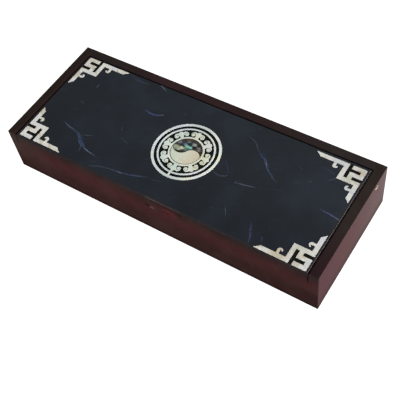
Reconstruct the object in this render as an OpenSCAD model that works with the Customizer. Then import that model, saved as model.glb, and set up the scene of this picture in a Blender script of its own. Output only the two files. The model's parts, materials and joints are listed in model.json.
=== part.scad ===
// Lacquer pen box with shell inlay and a lid that turns on two end pins.
// Millimetres. Origin at the middle of the underside, X along the length,
// front face toward -Y, hinge side toward +Y, Z up.

/* [Case] */
// Length over the two end walls
box_length = 250; // [220:1:300]
// Depth from the front face to the rear face
box_depth = 96; // [86:1:130]
// Height of the end walls and the rear wall
box_height = 38.8; // [35:0.1:60]
// Thickness of each end wall
end_wall_t = 7; // [5.5:0.1:9]
// Thickness of the front and rear walls
long_wall_t = 6.6; // [5:0.1:8]
// Rounding of the upright corners of the case
case_corner_r = 0.6; // [0.4:0.1:1.6]
// Rounding of the top and bottom arrises of the case
case_arris_r = 0.3; // [0.2:0.1:0.8]
// Thickness of the bottom panel
bottom_t = 4; // [3:0.1:6]
// How far the bottom panel is let into the walls
bottom_rebate = 3; // [2:0.1:3.5]
// Length of the tongues that hold the front and rear walls in the end walls
tongue_l = 3; // [2:0.1:4]
// Thickness of those tongues
tongue_t = 3; // [2:0.1:3.5]
// How far below the top the housing for the rear tongues stops
housing_stop = 6; // [4:0.5:10]

/* [Lid] */
// Thickness of the lid with its paper skin
lid_t = 9.6; // [9:0.1:13]
// Thickness of the lacquered paper skin
paper_t = 0.6; // [0.5:0.05:0.8]
// Gap between each end of the lid and its end wall
lid_end_gap = 0.7; // [0.4:0.05:1]
// Rounding of the front and rear top edges of the lid
lid_edge_r = 1; // [0.7:0.1:1.2]
// Rounding of the top edges at the two ends of the lid
lid_end_r = 0.7; // [0.4:0.1:1]

/* [Hinge pins] */
// Diameter of each hinge pin
pin_d = 3; // [2.4:0.1:3.4]
// Distance from the lid's rear edge to the pin axis
pin_behind = 8.8; // [8:0.1:12]
// Distance from the top of the lid to the pin axis
pin_below = 4; // [3:0.1:5]
// How far each pin reaches into the lid
pin_in_lid = 12; // [8:0.5:18]
// How deep the outer end of each pin sits below the end face
pin_recess = 0.8; // [0.4:0.1:1.5]
// Running clearance all round the pin in the lid
pin_play = 0.05; // [0.02:0.01:0.08]
// Clearance of the lid's rear edge as it swings past the rear wall
swing_clear = 0.1; // [0.1:0.05:0.4]

/* [Finger groove] */
// Length of the finger groove in the lid's front edge
groove_l = 29; // [24:1:40]
// Depth of the finger groove
groove_depth = 1.6; // [1.2:0.1:3]
// Distance of the groove's middle from the middle of the lid
groove_x = 10.7; // [0:0.1:20]
// Thickness of the lip above the groove
groove_lip = 1.2; // [1:0.1:2]
// How far the cutter runs out below the lid
groove_under = 0.6; // [0.2:0.1:1]

/* [Lining] */
// Thickness of the floor lining
floor_lining_t = 1.5; // [1:0.1:3]
// Thickness of the wall linings
wall_lining_t = 1; // [0.6:0.1:2]
// Space left under the swing of the lid's rear edge
lining_clear = 1; // [0.5:0.1:2]

/* [Shell inlay] */
// Depth of the beds for the shell in the paper skin
bed_depth = 0.4; // [0.25:0.05:0.45]
// How far the shell stands above the skin
inlay_proud = 0.1; // [0.05:0.05:0.2]
// Width of the lacquer line around each piece of shell
inlay_gap = 0.15; // [0.08:0.01:0.2]

/* [Corner frets] */
// Distance of each fret from the lid's ends
fret_end_margin = 2; // [1.2:0.1:3]
// Distance of the front frets from the lid's front edge
fret_front_margin = 1.4; // [1.3:0.1:3]
// Distance of the rear frets from the lid's rear edge
fret_rear_margin = 1.7; // [1.3:0.1:3]
// How far the left frets lie to the rear and the right frets to the front of their square places
fret_drift = 0.5; // [0:0.05:0.6]
// How far the front frets lie to the right of their square places
fret_front_shift = 0.3; // [0:0.05:0.5]
// Width of the fret's strokes
fret_stroke = 3.1; // [2.8:0.05:3.8]
// Width of the spaces between the strokes
fret_space = 2.6; // [2:0.05:2.8]
// Width of the inner key of the fret
fret_key_w = 9.8; // [8.5:0.1:11]
// Reach of the arm along the long side
long_reach = 36.4; // [34:0.1:42]
// Reach of the arm along the end
short_reach = 28.8; // [27:0.1:32]
// Length of the slanting tip of the long arm
long_tip = 3.6; // [2.5:0.1:4.5]
// Length of the slanting tip of the short arm
short_tip = 2.8; // [2:0.1:4]
// Radius of the hollow that cuts each tip
tip_r = 12; // [6:0.5:16]
// Height of the blunt point of each tip
tip_blunt = 0.35; // [0.2:0.05:0.6]
// Space from the fret's block to the curl on the long arm
long_curl_at = 5.1; // [4:0.1:7]
// Space from the fret's block to the curl on the short arm
short_curl_at = 4; // [3.4:0.1:6]
// Radius of the curls on the arms
curl_r = 1.9; // [1.8:0.05:2.4]
// Height of the curls above their arm
curl_h = 4.4; // [4:0.1:5]
// Radius of the ball that ends each curl
ball_r = 0.6; // [0.5:0.05:0.75]
// Height of that ball above the middle of its curl
hook_rise = 0.5; // [0.2:0.05:0.8]
// How far the stem reaches back past the middle of its curl
stem_back = 0.15; // [0:0.05:0.35]
// Width of the stem of each curl
stem_w = 1.9; // [1.6:0.05:2.1]
// Rounding of the fret's outer corner
fret_corner_r = 0.6; // [0.4:0.1:1.5]

/* [Medallion] */
// Distance of the medallion's middle to the right of the lid's middle
medallion_x = 0.5; // [0:0.1:4]
// Distance of the medallion's middle to the rear of the lid's middle
medallion_y = 0.4; // [0:0.1:4]
// Outer radius of the medallion
medallion_r = 24.5; // [23:0.1:26]
// Width of the outer ring
outer_ring_w = 1.9; // [1.6:0.05:2.6]
// Space between the two rings
ring_space = 2.2; // [1.6:0.05:2.4]
// Width of the inner ring
inner_ring_w = 1.25; // [1:0.05:1.8]
// Space between the inner ring and the cloud tips
cloud_space = 0.85; // [0.5:0.05:1.2]
// Radius of the two-part disc
disc_r = 10.95; // [10:0.05:11.4]
// Width of the line around the disc
disc_line = 0.3; // [0.2:0.05:0.5]
// Width of the collar that carries the clouds
collar_w = 1.5; // [1:0.1:1.7]
// Number of clouds on the collar
clouds = 8; // [6:1:9]
// Angle of each cloud curl from its cloud's middle
cloud_curl_angle = 10.4; // [10:0.1:11]
// Width of the tab from the front cloud to the outer ring
tab_w = 1.4; // [1:0.1:1.8]
// Depth of the bend in the line that parts the disc
bend = 3.2; // [2:0.1:3.6]

/* [Hidden] */
$fn = 96;
cut = 1;                      // how far cutters run past a face
inner_x = box_length / 2 - end_wall_t;
front_y = -box_depth / 2;
rear_y = box_depth / 2;
inner_front_y = front_y + long_wall_t;
inner_rear_y = rear_y - long_wall_t;
front_wall_h = box_height - lid_t;

// The rounded rear edge of the lid swings on this radius, which sets the rear gap
swing_r = sqrt(pow(pin_behind - lid_edge_r, 2) + pow(pin_below - lid_edge_r, 2)) + lid_edge_r;
lid_rear_gap = swing_r - pin_behind + swing_clear;
lid_x = inner_x - lid_end_gap;
lid_rear_y = inner_rear_y - lid_rear_gap;
lid_mid_y = (front_y + lid_rear_y) / 2;
lid_depth = lid_rear_y - front_y;
panel_top = box_height - paper_t;
pin_y = lid_rear_y - pin_behind;
pin_z = box_height - pin_below;
low_swing_r = sqrt(pow(pin_behind, 2) + pow(lid_t - pin_below, 2));
lining_top = min(pin_z - low_swing_r - lining_clear, front_wall_h - lining_clear);
floor_top = bottom_t + floor_lining_t;
bore_end = 0.5;               // space past the end of each pin in the lid
pin_chamfer = 0.25;

bed_z = box_height - bed_depth;
inlay_t = bed_depth + inlay_proud;

fret_step = fret_stroke + fret_space;
fret_block_h = 3 * fret_stroke + 2 * fret_space;
fret_leg = fret_key_w + fret_space;
fret_block_w = fret_leg + fret_stroke;

inner_ring_r = medallion_r - outer_ring_w - ring_space;
cloud_tip_r = inner_ring_r - inner_ring_w - cloud_space;
collar_in = disc_r + disc_line;
collar_r = collar_in + collar_w;
cloud_span = cloud_tip_r - collar_r;
cloud_pitch = 360 / clouds;
curl_rise = 0.45;             // these seven are shares of a cloud's height
curl_size = 0.43;
curl_ball = 0.27;
curl_ball_out = 0.15;
stem_size = 0.46;
lobe_size = 0.355;
lobe_rise = 0.56;
cloud_curl_at = collar_r + curl_rise * cloud_span;
cloud_curl_r = curl_size * cloud_span;
cloud_ball_r = curl_ball * cloud_span;
cloud_ball_out = curl_ball_out * cloud_span;
cloud_stem_w = stem_size * cloud_span;
cloud_lobe_w = lobe_size * cloud_span;
cloud_lobe_at = collar_r + lobe_rise * cloud_span;
tab_end = medallion_r - outer_ring_w - inlay_gap;

half_chord = disc_r / 2;
bend_r = (pow(half_chord, 2) + pow(bend, 2)) / (2 * bend);
bend_lap = 0.02;              // how far the two bends run into each other where they meet

wood = [0.24, 0.15, 0.14];
paper = [0.15, 0.17, 0.2];
pearl = [0.88, 0.88, 0.84];
abalone = [0.42, 0.4, 0.42];
brass = [0.72, 0.58, 0.3];
velvet = [0.36, 0.07, 0.1];

// Shared helpers

// A box between two corners
module span(lo, hi) translate(lo) cube(hi - lo);

// The waste outside a rounded corner, with the corner at the origin and the part in the first quadrant
module corner_waste_2d(r) difference() {
    translate([-cut, -cut]) square(r + cut);
    translate([r, r]) circle(r);
}

// A rectangle about the origin with all four corners rounded
module rounded_2d(w, h, r) difference() {
    square([w, h], center = true);
    for (a = [0, 1], b = [0, 1])
        mirror([a, 0]) mirror([0, b]) translate([-w / 2, -h / 2]) corner_waste_2d(r);
}

// A flat strip of the drawing, wider by g on every side
module bar(lo, hi, g) translate([lo[0] - g, lo[1] - g])
    square([hi[0] - lo[0] + 2 * g, hi[1] - lo[1] + 2 * g]);

// Outer form of the whole case, with its edges eased
module case_form() intersection() {
    linear_extrude(box_height) rounded_2d(box_length, box_depth, case_corner_r);
    translate([0, rear_y, box_height / 2]) rotate([90, 0, 0])
        linear_extrude(box_depth) rounded_2d(box_length, box_height, case_arris_r);
    translate([-box_length / 2, 0, box_height / 2]) rotate([90, 0, 90])
        linear_extrude(box_length) rounded_2d(box_depth, box_height, case_arris_r);
}

// The bottom panel's block, which is also the rebate in the walls
module bottom_block(z0) span([-inner_x - bottom_rebate, inner_front_y - bottom_rebate, z0],
                             [inner_x + bottom_rebate, inner_rear_y + bottom_rebate, bottom_t]);

// Tongues on both ends of the front wall, and on both ends of the rear wall
module front_tongue(side) mirror([side, 0, 0])
    span([inner_x, inner_front_y - tongue_t, 0], [inner_x + tongue_l, inner_front_y, front_wall_h]);
module rear_tongue(side) mirror([side, 0, 0])
    span([inner_x, inner_rear_y, 0], [inner_x + tongue_l, inner_rear_y + tongue_t, box_height - housing_stop]);

// Hinge pin's line, along X
module on_pin_line(x) translate([x, pin_y, pin_z]) rotate([0, 90, 0]) children();

// Case

module front_wall() color(wood) difference() {
    union() {
        intersection() {
            case_form();
            span([-inner_x, front_y - cut, -cut], [inner_x, inner_front_y, front_wall_h]);
        }
        for (s = [0, 1]) front_tongue(s);
    }
    bottom_block(-cut);
}

module rear_wall() color(wood) difference() {
    union() {
        intersection() {
            case_form();
            span([-inner_x, inner_rear_y, -cut], [inner_x, rear_y + cut, box_height + cut]);
        }
        for (s = [0, 1]) rear_tongue(s);
    }
    bottom_block(-cut);
}

module right_end() difference() {
    intersection() {
        case_form();
        span([inner_x, front_y - cut, -cut], [box_length / 2 + cut, rear_y + cut, box_height + cut]);
    }
    bottom_block(-cut);
    front_tongue(0);
    rear_tongue(0);
    on_pin_line(inner_x - cut) cylinder(h = end_wall_t + 2 * cut, d = pin_d);
}

module right_end_wall() color(wood) right_end();

module left_end_wall() color(wood) mirror([1, 0, 0]) right_end();

module bottom_panel() color(wood) bottom_block(0);

module pin() {
    start = lid_x - pin_in_lid;
    end = box_length / 2 - pin_recess;
    on_pin_line(start) cylinder(h = end - start - pin_chamfer, d = pin_d);
    on_pin_line(end - pin_chamfer) cylinder(h = pin_chamfer, d1 = pin_d, d2 = pin_d - 2 * pin_chamfer);
}

module right_hinge_pin() color(brass) pin();

module left_hinge_pin() color(brass) mirror([1, 0, 0]) pin();

// Lining

module floor_lining() color(velvet)
    span([-inner_x, inner_front_y, bottom_t], [inner_x, inner_rear_y, floor_top]);

module right_lining() color(velvet)
    span([inner_x - wall_lining_t, inner_front_y, floor_top], [inner_x, inner_rear_y, lining_top]);

module left_lining() mirror([1, 0, 0]) right_lining();

module front_lining() color(velvet)
    span([wall_lining_t - inner_x, inner_front_y, floor_top],
         [inner_x - wall_lining_t, inner_front_y + wall_lining_t, lining_top]);

module rear_lining() color(velvet)
    span([wall_lining_t - inner_x, inner_rear_y - wall_lining_t, floor_top],
         [inner_x - wall_lining_t, inner_rear_y, lining_top]);

// Lid

// Outer form of the lid with its skin, top edges rounded
module lid_form() intersection() {
    translate([-lid_x, 0, 0]) rotate([90, 0, 90]) linear_extrude(2 * lid_x) difference() {
        translate([front_y, front_wall_h]) square([lid_depth, lid_t]);
        translate([front_y, box_height]) mirror([0, 1]) corner_waste_2d(lid_edge_r);
        translate([lid_rear_y, box_height]) mirror([0, 1]) mirror([1, 0]) corner_waste_2d(lid_edge_r);
    }
    translate([0, rear_y, 0]) rotate([90, 0, 0]) linear_extrude(box_depth) difference() {
        translate([-lid_x, front_wall_h]) square([2 * lid_x, lid_t]);
        for (s = [0, 1]) mirror([s, 0]) translate([-lid_x, box_height]) mirror([0, 1])
            corner_waste_2d(lid_end_r);
    }
}

// Cutter for the finger groove, a disc with a round rim swept into the front edge
module finger_cutter() {
    half_h = (lid_t - groove_lip + groove_under) / 2;
    rim_r = (pow(half_h, 2) + pow(groove_depth, 2)) / (2 * groove_depth);
    sweep_r = (pow(groove_l / 2, 2) + pow(groove_depth, 2)) / (2 * groove_depth);
    translate([groove_x, front_y + groove_depth - sweep_r, box_height - groove_lip - half_h])
        rotate_extrude() translate([sweep_r - rim_r, 0]) circle(rim_r);
}

module lid_panel() color(wood) difference() {
    intersection() {
        lid_form();
        span([-box_length, -box_depth, 0], [box_length, box_depth, panel_top]);
    }
    finger_cutter();
    for (s = [0, 1]) mirror([s, 0, 0]) on_pin_line(lid_x - pin_in_lid - bore_end)
        cylinder(h = pin_in_lid + bore_end + cut, d = pin_d + 2 * pin_play);
}

module lid_paper() color(paper) difference() {
    intersection() {
        lid_form();
        span([-box_length, -box_depth, panel_top], [box_length, box_depth, box_height + cut]);
    }
    translate([0, 0, bed_z]) linear_extrude(bed_depth + cut) {
        for (a = [0, 1], b = [0, 1]) at_corner(a, b) fret_2d(inlay_gap);
        on_medallion() {
            outer_ring_2d(inlay_gap);
            inner_ring_2d(inlay_gap);
            circle(collar_r + inlay_gap);
            clouds_2d(inlay_gap);
        }
    }
}

// A flat piece of shell in its bed
module shell(tint) color(tint) translate([0, 0, bed_z]) linear_extrude(inlay_t) children();

// Corner frets, drawn from the outer corner inward: u along the long side, v along the end

// Corner a is 0 at the left and 1 at the right, b is 0 at the front and 1 at the rear
module at_corner(a, b) {
    margin = b == 0 ? fret_front_margin : fret_rear_margin;
    shift = b == 0 ? fret_front_shift : 0;
    translate([shift, lid_mid_y + (1 - 2 * a) * fret_drift]) mirror([a, 0]) mirror([0, b])
        translate([fret_end_margin - lid_x, margin - lid_depth / 2]) children();
}

// One arm with its slanting hollow tip
module arm_2d(reach, tip, g) {
    rise = fret_stroke - tip_blunt;
    chord = sqrt(pow(tip, 2) + pow(rise, 2));
    back = sqrt(pow(tip_r, 2) - pow(chord / 2, 2));
    difference() {
        bar([0, 0], [reach, fret_stroke], g);
        translate([reach - tip / 2 + back * rise / chord, tip_blunt + rise / 2 + back * tip / chord])
            circle(tip_r - g);
    }
}

// One curl standing on an arm, hooking back to the corner, with its foot at the origin
module curl_2d(g) {
    mid = curl_h - curl_r;
    hook = mid + hook_rise;
    hollow = 3 * curl_r;
    difference() {
        translate([0, mid]) circle(curl_r + g);
        translate([-stem_back - g - hollow, hook - g - hollow]) square(hollow);
    }
    translate([ball_r - curl_r, hook]) circle(ball_r + g);
    bar([-stem_back, -fret_stroke / 2], [stem_w - stem_back, mid], g);
}

// Swap of the two directions
module across() mirror([1, -1, 0]) children();

module fret_2d(g) difference() {
    union() {
        bar([0, 0], [fret_key_w, fret_stroke], g);
        bar([0, 0], [fret_stroke, fret_step + fret_stroke], g);
        bar([0, fret_step], [fret_key_w, fret_step + fret_stroke], g);
        bar([fret_key_w - fret_stroke, fret_step], [fret_key_w, fret_block_h], g);
        bar([0, 2 * fret_step], [fret_block_w, fret_block_h], g);
        bar([fret_leg, 0], [fret_block_w, fret_block_h], g);
        intersection() {
            arm_2d(long_reach, long_tip, g);
            translate([fret_leg - g, -cut]) square([long_reach, fret_stroke + 2 * cut]);
        }
        intersection() {
            across() arm_2d(short_reach, short_tip, g);
            translate([-cut, 2 * fret_step - g]) square([fret_stroke + 2 * cut, short_reach]);
        }
        translate([fret_block_w + long_curl_at, fret_stroke]) curl_2d(g);
        across() translate([fret_block_h + short_curl_at, fret_stroke]) curl_2d(g);
    }
    translate([-g, -g]) corner_waste_2d(fret_corner_r + g);
}

module fret_front_left() shell(pearl) at_corner(0, 0) fret_2d(0);

module fret_front_right() shell(pearl) at_corner(1, 0) fret_2d(0);

module fret_rear_left() shell(pearl) at_corner(0, 1) fret_2d(0);

module fret_rear_right() shell(pearl) at_corner(1, 1) fret_2d(0);

// Medallion, drawn about its own middle

module on_medallion() translate([medallion_x, lid_mid_y + medallion_y]) children();

module ring_2d(outer, width, g) difference() {
    circle(outer + g);
    circle(outer - width - g);
}

// Tab from the front cloud across the inner ring
module tab_2d(g) bar([-tab_w / 2, -tab_end], [tab_w / 2, -cloud_lobe_at], g);

module outer_ring_2d(g) ring_2d(medallion_r, outer_ring_w, g);

module inner_ring_2d(g) difference() {
    ring_2d(inner_ring_r, inner_ring_w, g);
    if (g == 0) tab_2d(inlay_gap);
}

// One curl of a cloud head, hooking down on its right
module cloud_curl_2d(g) {
    intersection() {
        circle(cloud_curl_r + g);
        translate([-2 * cloud_curl_r, -g]) square([4 * cloud_curl_r, 2 * cloud_curl_r]);
    }
    translate([cloud_ball_out, 0]) circle(cloud_ball_r + g);
}

// One cloud head above the collar: two curls, a stem and a pointed lobe
module cloud_2d(g) {
    lobe_h = cloud_tip_r - cloud_lobe_at;
    lobe_r = (pow(cloud_lobe_w, 2) + pow(lobe_h, 2)) / (2 * cloud_lobe_w);
    for (s = [0, 1]) mirror([s, 0]) rotate(-cloud_curl_angle) translate([0, cloud_curl_at]) cloud_curl_2d(g);
    bar([-cloud_stem_w / 2, collar_r - collar_w / 2], [cloud_stem_w / 2, cloud_lobe_at], g);
    translate([0, cloud_lobe_at]) intersection() {
        translate([lobe_r - cloud_lobe_w, 0]) circle(lobe_r + g);
        translate([cloud_lobe_w - lobe_r, 0]) circle(lobe_r + g);
    }
}

module clouds_2d(g) {
    for (i = [0 : clouds - 1]) rotate(180 + i * cloud_pitch) cloud_2d(g);
    tab_2d(g);
}

// One half of the disc, parted by two bends
module half_disc_2d() {
    part = disc_line / 2;
    side = bend_r - bend;
    touch_y = part * side / bend_r;
    intersection() {
        circle(disc_r);
        union() {
            difference() {
                translate([-2 * disc_r, touch_y]) square([4 * disc_r, 2 * disc_r]);
                translate([half_chord, -side]) circle(bend_r + part);
            }
            translate([-half_chord, side]) circle(bend_r - part + bend_lap);
        }
    }
}

module medallion_outer_ring() shell(pearl) on_medallion() outer_ring_2d(0);

module medallion_inner_ring() shell(pearl) on_medallion() inner_ring_2d(0);

module medallion_cloud_collar() shell(pearl) on_medallion() {
    ring_2d(collar_r, collar_w, 0);
    difference() {
        clouds_2d(0);
        circle(collar_r - collar_w / 4);
    }
}

module medallion_abalone_half() shell(abalone) on_medallion() half_disc_2d();

module medallion_pearl_half() shell(pearl) on_medallion() rotate(180) half_disc_2d();

front_wall();
rear_wall();
left_end_wall();
right_end_wall();
bottom_panel();
floor_lining();
front_lining();
rear_lining();
left_lining();
right_lining();
left_hinge_pin();
right_hinge_pin();
lid_panel();
lid_paper();
fret_front_left();
fret_front_right();
fret_rear_left();
fret_rear_right();
medallion_outer_ring();
medallion_inner_ring();
medallion_cloud_collar();
medallion_pearl_half();
medallion_abalone_half();
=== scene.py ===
"""Looks of the lacquer pen box: lacquer, fibre paper, shell, engraved lines, brass and velvet.

Lengths are in millimetres, in the frame of the CAD model. Only the stage is in metres.
"""

import json
import math
import random

import bmesh
import bpy
from mathutils import Matrix, Vector, noise


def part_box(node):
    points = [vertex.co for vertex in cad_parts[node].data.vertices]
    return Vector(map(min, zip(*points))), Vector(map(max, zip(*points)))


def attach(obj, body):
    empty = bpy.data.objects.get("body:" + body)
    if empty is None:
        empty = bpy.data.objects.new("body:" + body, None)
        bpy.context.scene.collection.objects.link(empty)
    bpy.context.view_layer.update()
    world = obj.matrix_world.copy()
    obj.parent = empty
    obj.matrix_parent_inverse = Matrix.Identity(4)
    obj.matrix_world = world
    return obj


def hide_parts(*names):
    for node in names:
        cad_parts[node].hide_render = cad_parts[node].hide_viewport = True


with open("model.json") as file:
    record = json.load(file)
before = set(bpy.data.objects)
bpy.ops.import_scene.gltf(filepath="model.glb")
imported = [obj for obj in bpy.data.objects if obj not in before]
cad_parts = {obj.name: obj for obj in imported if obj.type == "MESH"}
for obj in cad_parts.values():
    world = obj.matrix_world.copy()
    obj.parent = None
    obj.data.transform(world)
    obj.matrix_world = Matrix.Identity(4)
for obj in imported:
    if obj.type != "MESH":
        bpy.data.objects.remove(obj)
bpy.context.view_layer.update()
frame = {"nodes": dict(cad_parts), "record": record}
nodes = frame["nodes"]

MM = 0.001


def box_mm(node):
    """A node's lowest and highest corners at rest."""
    low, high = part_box(node)
    return low / MM, high / MM


# Places taken from the frame
LID_LOW, LID_HIGH = box_mm("lid_paper")
CASE_LOW = box_mm("left_end_wall")[0]
CASE_HIGH = box_mm("right_end_wall")[1]
RING_LOW, RING_HIGH = box_mm("medallion_outer_ring")
DISC_HIGH = box_mm("medallion_pearl_half")[1]
PIN_AXIS = Vector(frame["record"]["behaviour"]["joints"][0]["pos_m"]) / MM
PAPER_TOP = LID_HIGH.z
SHELL_TOP = RING_HIGH.z
MEDALLION = (RING_LOW + RING_HIGH) / 2
MEDALLION_R = (RING_HIGH.x - RING_LOW.x) / 2
DISC_R = DISC_HIGH.x - MEDALLION.x
FRETS = ("fret_front_left", "fret_front_right", "fret_rear_left", "fret_rear_right")


def srgb(red, green, blue):
    """A colour given as 0 to 255 on screen, as linear light with alpha."""
    def linear(value):
        share = value / 255
        return share / 12.92 if share <= 0.04045 else ((share + 0.055) / 1.055) ** 2.4
    return (linear(red), linear(green), linear(blue), 1.0)


def set_range(node, *limits):
    """Sets a Map Range node to a smooth step, by its From and To limits."""
    node.interpolation_type = "SMOOTHSTEP"
    for socket, number in zip(("From Min", "From Max", "To Min", "To Max"), limits):
        node.inputs[socket].default_value = number


class Paint:
    """A material around one Principled shader, with short calls for its nodes."""

    def __init__(self, name, **constants):
        self.material = bpy.data.materials.new(name)
        self.material.use_nodes = True
        self.tree = self.material.node_tree
        self.shader = self.tree.nodes["Principled BSDF"]
        for socket, value in constants.items():
            self.shader.inputs[socket.replace("_", " ")].default_value = value
        source = self.add("TexCoord")
        self.normal = source.outputs["Normal"]
        self.place = self.vector("SCALE", source.outputs["Object"], Scale=1 / MM)
        self.x, self.y, self.z = self.split(self.place)

    def add(self, kind):
        return self.tree.nodes.new("ShaderNode" + kind)

    def feed(self, socket, value):
        """Links an output to a socket, or sets a plain value on it."""
        if isinstance(value, bpy.types.NodeSocket):
            self.tree.links.new(value, socket)
        else:
            socket.default_value = value

    def calc(self, operation, first, second=0.0):
        node = self.add("Math")
        node.operation = operation
        self.feed(node.inputs[0], first)
        self.feed(node.inputs[1], second)
        return node.outputs[0]

    def plus(self, first, second):
        return self.calc("ADD", first, second)

    def minus(self, first, second):
        return self.calc("SUBTRACT", first, second)

    def times(self, first, second):
        return self.calc("MULTIPLY", first, second)

    def vector(self, operation, first, second=(0, 0, 0), **more):
        node = self.add("VectorMath")
        node.operation = operation
        self.feed(node.inputs[0], first)
        self.feed(node.inputs[1], second)
        for socket, value in more.items():
            self.feed(node.inputs[socket], value)
        return node.outputs[0]

    def split(self, vector):
        node = self.add("SeparateXYZ")
        self.feed(node.inputs[0], vector)
        return node.outputs

    def distance(self, first, second):
        node = self.vector("DISTANCE", first, second).node
        return node.outputs["Value"]

    def from_spot(self, x, y):
        """Distance from a spot on the lid, seen from above."""
        return self.distance(self.vector("MULTIPLY", self.place, (1, 1, 0)), (x, y, 0))

    def turned(self, angle):
        """The place, turned about Z by an angle in degrees."""
        node = self.add("VectorRotate")
        node.rotation_type = "Z_AXIS"
        self.feed(node.inputs["Vector"], self.place)
        node.inputs["Angle"].default_value = math.radians(angle)
        return node.outputs[0]

    def noise(self, size, stretch=(1, 1, 1), detail=2.0, where=None, warp=0.0):
        """Smooth noise with features of a size, longer along an axis with a larger stretch."""
        squeeze = tuple(1 / (size * factor) for factor in stretch)
        node = self.add("TexNoise")
        self.feed(node.inputs["Vector"], self.vector("MULTIPLY", where or self.place, squeeze))
        node.inputs["Scale"].default_value = 1.0
        node.inputs["Detail"].default_value = detail
        node.inputs["Distortion"].default_value = warp
        return node.outputs["Fac"]

    def noise_vector(self, size):
        """Smooth random shifts of about half a unit each way, flat on the lid."""
        node = self.add("TexNoise")
        self.feed(node.inputs["Vector"], self.vector("SCALE", self.place, Scale=1 / size))
        node.inputs["Scale"].default_value = 1.0
        centred = self.vector("SUBTRACT", node.outputs["Color"], (0.5, 0.5, 0.5))
        return self.vector("MULTIPLY", centred, (1, 1, 0))

    def step(self, value, low, high, to_low=0.0, to_high=1.0):
        """A smooth step of value from low to high."""
        node = self.add("MapRange")
        set_range(node, low, high, to_low, to_high)
        self.feed(node.inputs["Value"], value)
        return node.outputs[0]

    def share_between(self, value, low, high):
        """The share of the way of value from low to high."""
        return self.calc("DIVIDE", self.minus(value, low), high - low)

    def window(self, value, low, high, soft):
        """One between low and high, with soft ends."""
        rise = self.step(value, low - soft, low + soft)
        return self.times(rise, self.step(value, high + soft, high - soft))

    def beyond(self, value, middle, half):
        """How far value lies outside a span about its middle."""
        return self.minus(self.calc("ABSOLUTE", self.minus(value, middle)), half)

    def over_noise(self, field, low, high):
        """A number from low to high, over the middle range of a noise."""
        return self.step(field, 0.3, 0.7, low, high)

    def ramp(self, value, stops):
        """Colours along a value, as pairs of place and colour."""
        node = self.add("ValToRGB")
        self.feed(node.inputs[0], value)
        elements = node.color_ramp.elements
        while len(elements) < len(stops):
            elements.new(0.5)
        for element, (at, colour) in zip(elements, stops):
            element.position = at
            element.color = colour
        return node.outputs["Color"]

    def mix(self, share, first, second):
        """The first colour where share is 0, the second where it is 1."""
        node = self.add("Mix")
        node.data_type = "RGBA"
        self.feed(node.inputs["Factor"], share)
        self.feed(node.inputs[6], first)
        self.feed(node.inputs[7], second)
        return node.outputs[2]

    def spot(self, tone, far, reach, core, strength, colour):
        """Another colour about a spot, at its strength within a core share of the reach."""
        return self.mix(self.step(far, reach, reach * core, 0.0, strength), tone, colour)

    def shade_by(self, colour, factor):
        return self.vector("SCALE", colour, Scale=factor)

    def shade(self, colour, field, low, high):
        """A colour made darker or lighter by a noise."""
        return self.shade_by(colour, self.step(field, 0.25, 0.75, low, high))

    def scale_where(self, colour, share, factor):
        """A colour as it is where share is 0, and times a factor where share is 1."""
        return self.shade_by(colour, self.step(share, 0.0, 1.0, 1.0, factor))

    def bump(self, height, depth):
        """Sets the shader's relief."""
        node = self.add("Bump")
        self.feed(node.inputs["Height"], height)
        node.inputs["Distance"].default_value = depth * MM
        self.feed(self.shader.inputs["Normal"], node.outputs[0])

    def finish(self, colour, roughness):
        self.feed(self.shader.inputs["Base Color"], colour)
        self.feed(self.shader.inputs["Roughness"], roughness)
        return self.material


# Lacquered wood: colours up the long faces, along the end faces, and along the rails on top
FACE_LOW = srgb(44, 24, 23)
FACE_RED = srgb(54, 26, 25)
# Up the long faces; the dark foot is painted shade where the faces meet the floor
FACE_STOPS = (
    (0.06, srgb(33, 18, 18)), (0.12, FACE_LOW), (0.32, FACE_LOW), (0.58, FACE_RED),
    (0.72, FACE_RED), (0.86, srgb(45, 26, 25)), (0.97, srgb(36, 28, 29)))
FACE_GREY = srgb(47, 36, 33)
# Along the end faces: lighter and greyer to the rear, a painted reflection haze
END_STOPS = ((0.08, srgb(45, 22, 25)), (0.5, srgb(49, 29, 30)), (0.95, srgb(57, 43, 43)))
LONG_RAIL = (
    (0.1, srgb(40, 35, 33)), (0.27, srgb(47, 32, 34)),
    (0.6, srgb(45, 31, 32)), (0.9, srgb(41, 36, 35)))
# On the end rails the left rail lightens toward its inner edge, a painted highlight where that
# edge catches the light
END_RAIL = ((0.012, srgb(38, 30, 27)), (0.028, srgb(46, 34, 31)), (0.98, srgb(41, 34, 31)))
RAIL_RED = srgb(37, 23, 25)
ALONG_X = (40, 1, 1)
ALONG_Y = (1, 40, 1)
GRAIN = 0.9
LACQUER_RELIEF = 0.012

# Painted shade of the slits beside the lid, as distances past the lid's ends and factors: the
# right rail's inner edge, and the gaps' walls
EDGE_FROM, EDGE_TO, SLIT_SHADE = 0.45, 1.2, 0.35
GAP_FROM, GAP_TO, GAP_SHADE = 0.55, 0.85, 0.4

# Holes for the hinge pins, as distances from the pins' line: bare wood inside, painted pale as a
# highlight, and a dark rim
BARE_WOOD_AND_HIGHLIGHT = srgb(226, 204, 190)
BARE_FROM, BARE_TO = 1.62, 1.56
RIM_FROM, RIM_TO, RIM_FACTOR = 1.6, 2.7, 0.45

# Painted light and shade about the finger groove, as place, reach, strength and colour: a lit red
# patch inside the groove, painted shadow dots at its two ends and a painted highlight at its lower
# lip
GROOVE_SPOT_SQUEEZE = 0.6
GROOVE_SPOT_CORE = 0.4
GROOVE_LIGHT_SPOTS = (
    ((13.9, -48, 29.6), 5.0, 0.6, srgb(66, 25, 27)),
    ((-2.9, -48, 29.3), 1.5, 0.95, srgb(12, 6, 7)),
    ((0.8, -48, 28.4), 1.3, 0.8, srgb(84, 66, 64)),
    ((23.6, -47.8, 34.7), 1.6, 0.75, srgb(20, 11, 11)),
)


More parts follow.
